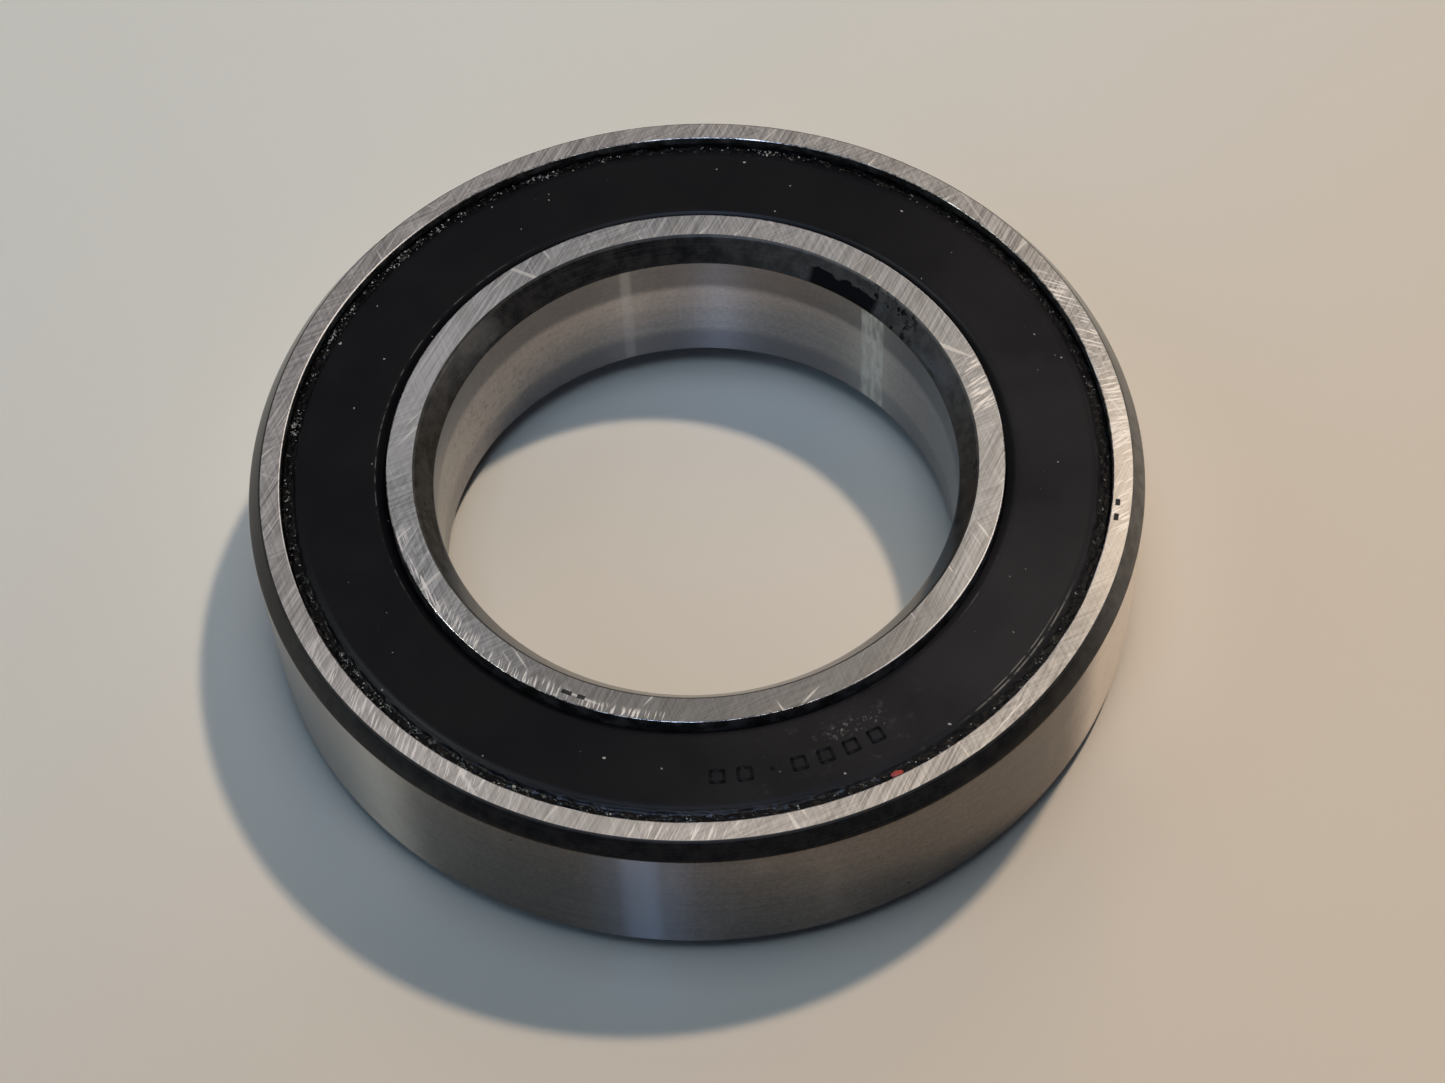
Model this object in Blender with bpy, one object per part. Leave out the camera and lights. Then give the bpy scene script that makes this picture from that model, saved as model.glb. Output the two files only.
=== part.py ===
"""Sealed single-row deep groove ball bearing, 40 x 68 x 15 mm.

The bearing lies flat: its axis is +Z and its origin is at its centre, halfway between the two faces.
Two rings, twelve balls, a riveted ribbon cage and two rubber seals with steel inserts, each in its
own object. Lengths are written in millimetres and turned into metres by MM.
"""

import math

import bmesh
import bpy

MM = 0.001

# Boundary dimensions.
BORE_RADIUS = 20.0
OUTSIDE_RADIUS = 34.0
HALF_WIDTH = 7.5

# Rolling elements.
BALL_COUNT = 12
BALL_RADIUS = 7.938 / 2
PITCH_RADIUS = 27.0
RUNNING_CLEARANCE = 0.08

# Raceways: the radius of each groove in section, and the shoulders on both sides of it.
OUTER_GROOVE_RADIUS = 0.53 * 2 * BALL_RADIUS
INNER_GROOVE_RADIUS = 0.52 * 2 * BALL_RADIUS
OUTER_SHOULDER_RADIUS = 29.4
INNER_SHOULDER_RADIUS = 24.65
GROOVE_STEPS = 8

# Corners of the rings: how far each chamfer goes along the face and along the axis.
OUTER_CHAMFER_FACE = 1.0
OUTER_CHAMFER_AXIAL = 1.44
BORE_CHAMFER_FACE = 1.4
BORE_CHAMFER_AXIAL = 1.93
CHAMFER_BULGE = 0.12

# Seal seats: the snap groove and mouth of the outer ring, and the lip's land on the inner ring.
SEAT_FLOOR_Z = 5.45
SEAT_CORNER = 0.3
SNAP_GROOVE_RADIUS = 31.85
SNAP_GROOVE_TOP_Z = 6.35
SEAT_MOUTH_RADIUS = 31.47
SEAT_MOUTH_Z = 6.7
INNER_SHOULDER_Z = 4.9
LIP_LAND_RADIUS = 23.43
LIP_LAND_Z = 5.2

# Rubber of a seal, from its face out over the sunken rim to the bead, and in to the lip.
SEAL_FACE_Z = 7.05
SEAL_FACE_INNER = 24.2
SEAL_FACE_OUTER = 30.35
SEAL_RIM_RADIUS = 30.6
SEAL_RIM_Z = 6.75
SEAL_FLASH_RADIUS = 31.35
SEAL_FLASH_Z = 6.6
SEAL_BACK_Z = 6.35
BEAD_RADIUS = 31.7
BEAD_TOP_Z = 6.2
BEAD_LOW_Z = 5.75
BEAD_FOOT_Z = 5.6
LIP_TIP_RADIUS = 23.53
LIP_TOP_Z = 6.25
LIP_LOW_Z = 5.95
LIP_HEEL_RADIUS = 24.1
LIP_HEEL_Z = 5.65
LIP_ROOT_Z = 5.75

# Steel insert behind the rubber.
INSERT_INNER = 24.85
INSERT_OUTER = 31.0
INSERT_THICKNESS = 0.3
INSERT_GAP = 0.1
INSERT_RIM_Z = 5.65

# Ribbon cage and its rivets.
CAGE_SHEET = 0.7
CAGE_HALF_GAP = 0.05
CAGE_HALF_BREADTH = 1.8
CAGE_TRACKS = 4
POCKET_CLEARANCE = 0.3
POCKET_STEPS = 6
RIVET_SHANK = 0.7
RIVET_HOLE = 0.8
RIVET_HEAD = 1.35
RIVET_HEAD_HEIGHT = 0.55
RIVET_SEAT_GAP = 0.05

# Roundness of the meshes.
RING_SEGMENTS = 72
BALL_SEGMENTS = 20
BALL_RINGS = 12
RIVET_SEGMENTS = 8
SHARP_ANGLE = math.radians(30)

PITCH_ANGLE = 2 * math.pi / BALL_COUNT


def clear_scene():
    for obj in list(bpy.data.objects):
        bpy.data.objects.remove(obj, do_unlink=True)


def make_material(name, colour, roughness, metallic):
    material = bpy.data.materials.new(name)
    material.use_nodes = True
    shader = material.node_tree.nodes["Principled BSDF"]
    shader.inputs["Base Color"].default_value = (*colour, 1.0)
    shader.inputs["Roughness"].default_value = roughness
    shader.inputs["Metallic"].default_value = metallic
    return material


def make_mesh(name, bm):
    """Turn a bmesh into a mesh with its faces pointing out and its curved faces smooth."""
    bmesh.ops.recalc_face_normals(bm, faces=bm.faces)
    mesh = bpy.data.meshes.new(name)
    bm.to_mesh(mesh)
    bm.free()
    mesh.shade_smooth()
    mesh.set_sharp_from_angle(angle=SHARP_ANGLE)
    return mesh


def add_object(name, mesh, material, parent=None):
    obj = bpy.data.objects.new(name, mesh)
    bpy.context.scene.collection.objects.link(obj)
    if not mesh.materials:
        mesh.materials.append(material)
    obj.parent = parent
    return obj


def add_axis(name):
    """An empty on the bearing's axis, which carries the pieces that turn together."""
    axis = bpy.data.objects.new(name, None)
    bpy.context.scene.collection.objects.link(axis)
    return axis


def turned_mesh(name, profile, segments):
    """Spin a closed outline of (radius, height) points once round the Z axis."""
    bm = bmesh.new()
    corners = [bm.verts.new((radius * MM, 0.0, height * MM)) for radius, height in profile]
    edges = [bm.edges.new((a, b)) for a, b in zip(corners, corners[1:] + corners[:1])]
    bmesh.ops.spin(
        bm, geom=edges, cent=(0, 0, 0), axis=(0, 0, 1), angle=2 * math.pi, steps=segments, use_merge=True
    )
    bmesh.ops.remove_doubles(bm, verts=bm.verts, dist=0.001 * MM)
    return make_mesh(name, bm)


def groove_points(bottom_radius, section_radius, shoulder_radius):
    """Raceway outline from its lower shoulder to its upper one, as an arc through its bottom."""
    outward = 1 if bottom_radius > shoulder_radius else -1
    centre = bottom_radius - outward * section_radius
    reach = math.acos(outward * (shoulder_radius - centre) / section_radius)
    angles = [reach * (2 * step / GROOVE_STEPS - 1) for step in range(GROOVE_STEPS + 1)]
    return [
        (centre + outward * section_radius * math.cos(angle), section_radius * math.sin(angle))
        for angle in angles
    ]


def chamfer_middle(wall, face):
    """The middle point of a slightly rounded chamfer between a wall point and a face point."""
    radius = (wall[0] + face[0]) / 2
    height = (wall[1] + face[1]) / 2
    radial_way = CHAMFER_BULGE if wall[0] > face[0] else -CHAMFER_BULGE
    axial_way = CHAMFER_BULGE if height > 0 else -CHAMFER_BULGE
    return (radius + radial_way, height + axial_way)


def outer_ring_outline():
    wall_z = HALF_WIDTH - OUTER_CHAMFER_AXIAL
    face_radius = OUTSIDE_RADIUS - OUTER_CHAMFER_FACE
    bottom_radius = PITCH_RADIUS + BALL_RADIUS + RUNNING_CLEARANCE
    upper = [
        (OUTER_SHOULDER_RADIUS, SEAT_FLOOR_Z - SEAT_CORNER),
        (OUTER_SHOULDER_RADIUS + SEAT_CORNER, SEAT_FLOOR_Z),
        (SNAP_GROOVE_RADIUS, SEAT_FLOOR_Z),
        (SNAP_GROOVE_RADIUS, SNAP_GROOVE_TOP_Z),
        (SEAT_MOUTH_RADIUS, SEAT_MOUTH_Z),
        (SEAT_MOUTH_RADIUS, HALF_WIDTH),
        (face_radius, HALF_WIDTH),
        chamfer_middle((OUTSIDE_RADIUS, wall_z), (face_radius, HALF_WIDTH)),
        (OUTSIDE_RADIUS, wall_z),
    ]
    lower = [(radius, -height) for radius, height in reversed(upper)]
    return groove_points(bottom_radius, OUTER_GROOVE_RADIUS, OUTER_SHOULDER_RADIUS) + upper + lower


def inner_ring_outline():
    wall_z = HALF_WIDTH - BORE_CHAMFER_AXIAL
    face_radius = BORE_RADIUS + BORE_CHAMFER_FACE
    bottom_radius = PITCH_RADIUS - BALL_RADIUS - RUNNING_CLEARANCE
    upper = [
        (INNER_SHOULDER_RADIUS, INNER_SHOULDER_Z),
        (LIP_LAND_RADIUS, LIP_LAND_Z),
        (LIP_LAND_RADIUS, HALF_WIDTH),
        (face_radius, HALF_WIDTH),
        chamfer_middle((BORE_RADIUS, wall_z), (face_radius, HALF_WIDTH)),
        (BORE_RADIUS, wall_z),
    ]
    lower = [(radius, -height) for radius, height in reversed(upper)]
    return groove_points(bottom_radius, INNER_GROOVE_RADIUS, INNER_SHOULDER_RADIUS) + upper + lower


def seal_rubber_outline():
    """Rubber of the upper seal: flat face, sunken rim, bead in the snap groove, and contact lip."""
    insert_side = INSERT_OUTER + INSERT_GAP
    lip_root = INSERT_INNER - INSERT_GAP
    return [
        (SEAL_FACE_INNER, SEAL_FACE_Z),
        (SEAL_FACE_OUTER, SEAL_FACE_Z),
        (SEAL_RIM_RADIUS, SEAL_RIM_Z),
        (SEAL_FLASH_RADIUS, SEAL_FLASH_Z),
        (BEAD_RADIUS, BEAD_TOP_Z),
        (BEAD_RADIUS, BEAD_LOW_Z),
        (insert_side, BEAD_FOOT_Z),
        (insert_side, SEAL_BACK_Z),
        (lip_root, SEAL_BACK_Z),
        (lip_root, LIP_ROOT_Z),
        (LIP_HEEL_RADIUS, LIP_HEEL_Z),
        (LIP_TIP_RADIUS, LIP_LOW_Z),
        (LIP_TIP_RADIUS, LIP_TOP_Z),
    ]


def seal_insert_outline():
    """Pressed steel ring behind the upper seal's rubber, with its rim turned in towards the balls."""
    front_z = SEAL_BACK_Z - INSERT_GAP
    back_z = front_z - INSERT_THICKNESS
    return [
        (INSERT_INNER, front_z),
        (INSERT_OUTER, front_z),
        (INSERT_OUTER, INSERT_RIM_Z),
        (INSERT_OUTER - INSERT_THICKNESS, INSERT_RIM_Z),
        (INSERT_OUTER - INSERT_THICKNESS, back_z),
        (INSERT_INNER, back_z),
    ]


def pocket_stations(shell_radius, flat_z, track_radius):
    """Points (turn round the bearing's axis, height) on a pocket shell, along one circular track.

    The shell is a sphere about the ball, and the track runs from where the shell leaves the ribbon's
    flat on one side of the ball to where it meets it again on the other.
    """
    centres_squared = track_radius**2 + PITCH_RADIUS**2
    product = 2 * track_radius * PITCH_RADIUS
    reach = math.acos((centres_squared - shell_radius**2 + flat_z**2) / product)
    stations = []
    for step in range(POCKET_STEPS + 1):
        turn = reach * math.sin(math.pi / 2 * (2 * step / POCKET_STEPS - 1))
        height_squared = shell_radius**2 - centres_squared + product * math.cos(turn)
        stations.append((turn, math.sqrt(max(height_squared, flat_z**2))))
    return stations


def cage_rows(shell_radius, flat_z):
    """Rows of points across the ribbon, all the way round, on its inner or its outer surface."""
    spacing = 2 * CAGE_HALF_BREADTH / (CAGE_TRACKS - 1)
    tracks = [PITCH_RADIUS - CAGE_HALF_BREADTH + spacing * track for track in range(CAGE_TRACKS)]
    columns = [pocket_stations(shell_radius, flat_z, track) for track in tracks]
    rows = []
    for ball in range(BALL_COUNT):
        for step in range(POCKET_STEPS + 1):
            row = []
            for track, column in zip(tracks, columns):
                turn, height = column[step]
                angle = ball * PITCH_ANGLE + turn
                row.append((track * MM * math.cos(angle), track * MM * math.sin(angle), height * MM))
            rows.append(row)
    return rows


def cage_half_mesh():
    """Upper half of the ribbon cage: a pocket shell over each ball and a flat between each two."""
    inner_radius = BALL_RADIUS + POCKET_CLEARANCE
    inner_rows = cage_rows(inner_radius, CAGE_HALF_GAP)
    outer_rows = cage_rows(inner_radius + CAGE_SHEET, CAGE_HALF_GAP + CAGE_SHEET)
    bm = bmesh.new()
    loops = [
        [bm.verts.new(point) for point in inner + outer[::-1]]
        for inner, outer in zip(inner_rows, outer_rows)
    ]
    for here, following in zip(loops, loops[1:] + loops[:1]):
        for a in range(len(here)):
            b = (a + 1) % len(here)
            bm.faces.new((here[a], here[b], following[b], following[a]))
    bmesh.ops.triangulate(bm, faces=bm.faces)
    return make_mesh("cage_half", bm)


def rivet_outline():
    """Right half of a rivet's section, from the top of one head down to the foot of the other."""
    seat_z = CAGE_HALF_GAP + CAGE_SHEET + RIVET_SEAT_GAP
    upper = [
        (0.0, seat_z + RIVET_HEAD_HEIGHT),
        (0.65 * RIVET_HEAD, seat_z + 0.75 * RIVET_HEAD_HEIGHT),
        (RIVET_HEAD, seat_z),
        (RIVET_SHANK, seat_z),
    ]
    return upper + [(radius, -height) for radius, height in reversed(upper)]


def rivet_mesh():
    bm = bmesh.new()
    points = [bm.verts.new((radius * MM, 0.0, height * MM)) for radius, height in rivet_outline()]
    edges = [bm.edges.new((a, b)) for a, b in zip(points, points[1:])]
    bmesh.ops.spin(
        bm,
        geom=edges,
        cent=(0, 0, 0),
        axis=(0, 0, 1),
        angle=2 * math.pi,
        steps=RIVET_SEGMENTS,
        use_merge=True,
    )
    bmesh.ops.remove_doubles(bm, verts=bm.verts, dist=0.001 * MM)
    return make_mesh("cage_rivet", bm)


def ball_mesh():
    bm = bmesh.new()
    bmesh.ops.create_uvsphere(
        bm, u_segments=BALL_SEGMENTS, v_segments=BALL_RINGS, radius=BALL_RADIUS * MM
    )
    return make_mesh("ball", bm)


def on_pitch_circle(angle):
    return (PITCH_RADIUS * MM * math.cos(angle), PITCH_RADIUS * MM * math.sin(angle), 0.0)


def add_rings(steel, inner_axis):
    outer = turned_mesh("outer_ring", outer_ring_outline(), RING_SEGMENTS)
    add_object("outer_ring", outer, steel)
    inner = turned_mesh("inner_ring", inner_ring_outline(), RING_SEGMENTS)
    add_object("inner_ring", inner, steel, inner_axis)


def add_seals(rubber, insert_steel):
    """Two equal seals; the lower one is the upper one turned over."""
    rubber_mesh = turned_mesh("seal_rubber", seal_rubber_outline(), RING_SEGMENTS)
    insert_mesh = turned_mesh("seal_insert", seal_insert_outline(), RING_SEGMENTS)
    for side, turn in (("upper", 0.0), ("lower", math.pi)):
        for piece, mesh, material in (
            ("rubber", rubber_mesh, rubber),
            ("insert", insert_mesh, insert_steel),
        ):
            seal = add_object(f"{side}_seal_{piece}", mesh, material)
            seal.rotation_euler.x = turn


def add_balls(steel, cage_axis):
    mesh = ball_mesh()
    for number in range(BALL_COUNT):
        ball = add_object(f"ball_{number + 1:02d}", mesh, steel, cage_axis)
        ball.location = on_pitch_circle(number * PITCH_ANGLE)


def rivet_hole_cutter():
    """Twelve drills on the pitch circle, halfway between the balls."""
    bm = bmesh.new()
    for number in range(BALL_COUNT):
        drill = bmesh.ops.create_cone(
            bm,
            cap_ends=True,
            segments=RIVET_SEGMENTS,
            radius1=RIVET_HOLE * MM,
            radius2=RIVET_HOLE * MM,
            depth=4 * CAGE_SHEET * MM,
        )
        place = on_pitch_circle((number + 0.5) * PITCH_ANGLE)
        bmesh.ops.translate(bm, verts=drill["verts"], vec=place)
    cutter = bpy.data.objects.new("rivet_hole_cutter", make_mesh("rivet_holes", bm))
    bpy.context.scene.collection.objects.link(cutter)
    cutter.hide_render = True
    cutter.display_type = "WIRE"
    return cutter


def add_cage(sheet_steel, rivet_steel, cage_axis):
    mesh = cage_half_mesh()
    cutter = rivet_hole_cutter()
    for side, turn in (("upper", 0.0), ("lower", math.pi)):
        half = add_object(f"cage_half_{side}", mesh, sheet_steel, cage_axis)
        half.rotation_euler.x = turn
        drilling = half.modifiers.new("rivet_holes", "BOOLEAN")
        drilling.operation = "DIFFERENCE"
        drilling.solver = "EXACT"
        drilling.object = cutter
    rivet = rivet_mesh()
    for number in range(BALL_COUNT):
        piece = add_object(f"cage_rivet_{number + 1:02d}", rivet, rivet_steel, cage_axis)
        piece.location = on_pitch_circle((number + 0.5) * PITCH_ANGLE)


def main():
    clear_scene()
    ring_steel = make_material("ring_steel", (0.46, 0.45, 0.43), 0.32, 1.0)
    ball_steel = make_material("ball_steel", (0.62, 0.62, 0.62), 0.08, 1.0)
    sheet_steel = make_material("cage_steel", (0.42, 0.42, 0.41), 0.35, 1.0)
    rivet_steel = make_material("rivet_steel", (0.50, 0.50, 0.49), 0.30, 1.0)
    insert_steel = make_material("insert_steel", (0.30, 0.30, 0.30), 0.50, 1.0)
    rubber = make_material("seal_rubber", (0.012, 0.012, 0.015), 0.60, 0.0)
    inner_axis = add_axis("inner_axis")
    cage_axis = add_axis("cage_axis")
    add_rings(ring_steel, inner_axis)
    add_seals(rubber, insert_steel)
    add_balls(ball_steel, cage_axis)
    add_cage(sheet_steel, rivet_steel, cage_axis)


main()
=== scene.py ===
"""Looks of a sealed deep groove ball bearing that lies on a pale floor.

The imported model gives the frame: rings, seals, balls and a riveted cage. The pieces below repeat its
sections with round edges and fine detail. Lengths are written in millimetres and turned by MM.
"""

import math
import random

import bmesh
import bpy
from mathutils import Matrix, Vector, noise

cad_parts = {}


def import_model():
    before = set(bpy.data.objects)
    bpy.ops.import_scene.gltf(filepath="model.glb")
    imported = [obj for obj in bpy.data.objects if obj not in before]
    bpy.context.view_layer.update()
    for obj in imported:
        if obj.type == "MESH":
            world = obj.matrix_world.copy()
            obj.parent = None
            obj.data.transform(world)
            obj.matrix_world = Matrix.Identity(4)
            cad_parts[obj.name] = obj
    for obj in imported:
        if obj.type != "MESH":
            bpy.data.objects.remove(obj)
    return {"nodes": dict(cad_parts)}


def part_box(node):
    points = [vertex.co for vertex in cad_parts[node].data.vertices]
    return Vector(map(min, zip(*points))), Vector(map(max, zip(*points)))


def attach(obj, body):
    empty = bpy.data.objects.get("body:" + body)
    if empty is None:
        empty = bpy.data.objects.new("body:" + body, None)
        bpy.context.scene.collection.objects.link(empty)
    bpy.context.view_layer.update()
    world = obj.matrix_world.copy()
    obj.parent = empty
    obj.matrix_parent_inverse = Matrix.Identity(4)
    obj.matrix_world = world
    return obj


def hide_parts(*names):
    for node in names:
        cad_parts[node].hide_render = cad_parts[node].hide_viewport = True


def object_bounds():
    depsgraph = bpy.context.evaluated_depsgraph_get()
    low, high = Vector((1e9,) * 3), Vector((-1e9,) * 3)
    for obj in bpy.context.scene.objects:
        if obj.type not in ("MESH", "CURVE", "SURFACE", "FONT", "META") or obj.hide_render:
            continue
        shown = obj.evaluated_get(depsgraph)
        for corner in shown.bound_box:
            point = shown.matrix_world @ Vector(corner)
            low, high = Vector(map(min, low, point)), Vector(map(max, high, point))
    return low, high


MM = 0.001

# Camera, as it looks down on the bearing from the front.
CAMERA_LENS = 77.05
CAMERA_SENSOR = 36.0
CAMERA_ELEVATION = 56.365
CAMERA_ROLL = -2.765
CAMERA_DISTANCE = 238.5
CAMERA_TARGET = (1.75, -3.026, 0.0)

# Rings.
RING_SEGMENTS = 360
BORE_RADIUS = 20.0
OUTER_CHAMFER_FACE = 1.0
OUTER_CHAMFER_AXIAL = 1.44
BORE_CHAMFER_FACE = 1.4
BORE_CHAMFER_AXIAL = 1.93
CHAMFER_BULGE = 0.012
CHAMFER_STEPS = 6
OUTER_SHOULDER_RADIUS = 29.4
INNER_SHOULDER_RADIUS = 24.65
OUTER_GROOVE_BOTTOM = 31.04
INNER_GROOVE_BOTTOM = 22.96
OUTER_GROOVE_RADIUS = 4.207
INNER_GROOVE_RADIUS = 4.128
GROOVE_STEPS = 24
SEAT_FLOOR_Z = 5.45
SEAT_CORNER = 0.3
SNAP_GROOVE_RADIUS = 31.85
SNAP_GROOVE_TOP_Z = 6.35
SEAT_MOUTH_RADIUS = 31.47
SEAT_MOUTH_Z = 6.7
INNER_SHOULDER_Z = 4.9
LIP_LAND_RADIUS = 23.43
LIP_LAND_Z = 5.2
EDGE_SIZE = 0.05
BURNISHED_SIZE = 0.09

# Seals.
SEAL_SEGMENTS = 900
SEAL_FACE_Z = 7.05
SEAL_FACE_INNER = 24.2
SEAL_FACE_OUTER = 30.35
WITNESS_WIDTH = 0.28
WITNESS_DROP = 0.05
MARK_RISE = 0.07
MARK_RADIUS = 27.65
MARK_START = 271.2
MARK_STEP = 4.1
MARK_COUNT = 7
DOT_NUMBER = 2
SHRED_COUNT = 560
FLECK_RADIUS = 31.12
FLECK_DEGREES = 295.3

# Balls and cage.
BALL_COUNT = 12
BALL_RADIUS = 3.969

# Room, in metres: the floor's half side, how far the lamps stand, and where it is brightest.
FLOOR_HALF = 3.0
LAMP_DISTANCE = 0.9
BRIGHT_SIDE = (0.0, 0.55, 0.835)


# ---------------------------------------------------------------------------------------------------
# Node patterns
# ---------------------------------------------------------------------------------------------------


class Pattern:
    """The shader nodes of one material. Each method adds nodes and gives back an output socket."""

    def __init__(self, name):
        self.material = bpy.data.materials.new(name)
        self.material.use_nodes = True
        self.tree = self.material.node_tree
        self.shader = self.tree.nodes["Principled BSDF"]
        coordinates = self.tree.nodes.new("ShaderNodeTexCoord")
        self.place = self.scaled(coordinates.outputs["Object"], (1 / MM, 1 / MM, 1 / MM))

    def feed(self, socket, value):
        if isinstance(value, bpy.types.NodeSocket):
            self.tree.links.new(value, socket)
        else:
            socket.default_value = value

    def scaled(self, vector, factors):
        node = self.tree.nodes.new("ShaderNodeVectorMath")
        node.operation = "MULTIPLY"
        self.feed(node.inputs[0], vector)
        node.inputs[1].default_value = factors
        return node.outputs[0]

    def turned(self, degrees):
        """Place in millimetres, seen from axes turned by this angle about the bearing's axis."""
        node = self.tree.nodes.new("ShaderNodeVectorRotate")
        node.rotation_type = "Z_AXIS"
        self.feed(node.inputs["Vector"], self.place)
        node.inputs["Angle"].default_value = math.radians(-degrees)
        return node.outputs[0]

    def part(self, vector, axis):
        node = self.tree.nodes.new("ShaderNodeSeparateXYZ")
        self.feed(node.inputs[0], vector)
        return node.outputs[axis]

    def radius(self):
        flat = self.scaled(self.place, (1, 1, 0))
        node = self.tree.nodes.new("ShaderNodeVectorMath")
        node.operation = "LENGTH"
        self.feed(node.inputs[0], flat)
        return node.outputs["Value"]

    def rings(self, spacing):
        """Noise that changes only with the distance from the axis."""
        node = self.tree.nodes.new("ShaderNodeCombineXYZ")
        self.feed(node.inputs[0], self.radius())
        return self.noise(node.outputs[0], 1 / spacing, 2.0)

    def math(self, operation, first, second=0.0):
        node = self.tree.nodes.new("ShaderNodeMath")
        node.operation = operation
        self.feed(node.inputs[0], first)
        self.feed(node.inputs[1], second)
        return node.outputs[0]

    def remap(self, value, low, high, to_low=0.0, to_high=1.0, smooth=True):
        node = self.tree.nodes.new("ShaderNodeMapRange")
        node.interpolation_type = "SMOOTHSTEP" if smooth else "LINEAR"
        self.feed(node.inputs["Value"], value)
        node.inputs["From Min"].default_value = low
        node.inputs["From Max"].default_value = high
        node.inputs["To Min"].default_value = to_low
        node.inputs["To Max"].default_value = to_high
        return node.outputs["Result"]

    def noise(self, vector, scale, detail=2.0, roughness=0.5):
        node = self.tree.nodes.new("ShaderNodeTexNoise")
        self.feed(node.inputs["Vector"], vector)
        node.inputs["Scale"].default_value = scale
        node.inputs["Detail"].default_value = detail
        node.inputs["Roughness"].default_value = roughness
        return node.outputs[0]

    def lines(self, degrees, spacing, length, detail=2.0):
        """Noise drawn out into straight lines in the XY plane: about this far apart and this long."""
        vector = self.scaled(self.turned(degrees), (1 / length, 1 / spacing, 1 / length))
        return self.noise(vector, 1.0, detail)

    def hoops(self, spacing, length, detail=2.0):
        """Noise drawn out round the axis, into lines that lie one above the other."""
        vector = self.scaled(self.place, (1 / length, 1 / length, 1 / spacing))
        return self.noise(vector, 1.0, detail)

    def between(self, value, middle, half, soft):
        """1 where value is within half of middle, falling to 0 over soft."""
        distance = self.math("ABSOLUTE", self.math("SUBTRACT", value, middle))
        return self.remap(distance, half - soft, half + soft, 1.0, 0.0)

    def sector(self, degrees, half, soft):
        """1 near this direction from the axis, within half degrees, falling to 0 over soft degrees."""
        cosine = self.math("DIVIDE", self.part(self.turned(degrees), 0), self.radius())
        near = math.cos(math.radians(half - soft))
        far = math.cos(math.radians(half + soft))
        return self.remap(cosine, far, near)

    def all_of(self, *masks):
        result = masks[0]
        for mask in masks[1:]:
            result = self.math("MULTIPLY", result, mask)
        return result

    def any_of(self, *masks):
        result = masks[0]
        for mask in masks[1:]:
            result = self.math("MAXIMUM", result, mask)
        return result

    def mix(self, factor, first, second):
        """A colour between two colours, each a socket or a plain (r, g, b)."""
        node = self.tree.nodes.new("ShaderNodeMix")
        node.data_type = "RGBA"
        self.feed(node.inputs["Factor"], factor)
        for name, colour in (("A", first), ("B", second)):
            socket = [s for s in node.inputs if s.name == name and s.type == "RGBA"][0]
            self.feed(socket, (*colour, 1.0) if isinstance(colour, tuple) else colour)
        return [s for s in node.outputs if s.type == "RGBA"][0]

    def bump(self, height, depth, under=None):
        """Normal for a height pattern of 0 to 1 that stands this many millimetres deep."""
        node = self.tree.nodes.new("ShaderNodeBump")
        node.inputs["Distance"].default_value = depth * MM
        self.feed(node.inputs["Height"], height)
        if under is not None:
            self.feed(node.inputs["Normal"], under)
        return node.outputs["Normal"]

    def finish(self, colour, roughness, metallic, normal, **constants):
        self.feed(self.shader.inputs["Base Color"], colour)
        self.feed(self.shader.inputs["Roughness"], roughness)
        self.shader.inputs["Metallic"].default_value = metallic
        self.feed(self.shader.inputs["Normal"], normal)
        for name, value in constants.items():
            self.shader.inputs[name.replace("_", " ")].default_value = value
        return self.material


def etched_dash(pattern, degrees, radius, length, breadth):
    """A small rectangle etched on a side face, with its length along the ring."""
    place = pattern.turned(degrees)
    return pattern.all_of(
        pattern.between(pattern.part(place, 0), radius, breadth / 2, 0.03),
        pattern.between(pattern.part(place, 1), 0.0, length / 2, 0.03),
        pattern.math("GREATER_THAN", pattern.part(place, 2), 0.0),
    )


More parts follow.
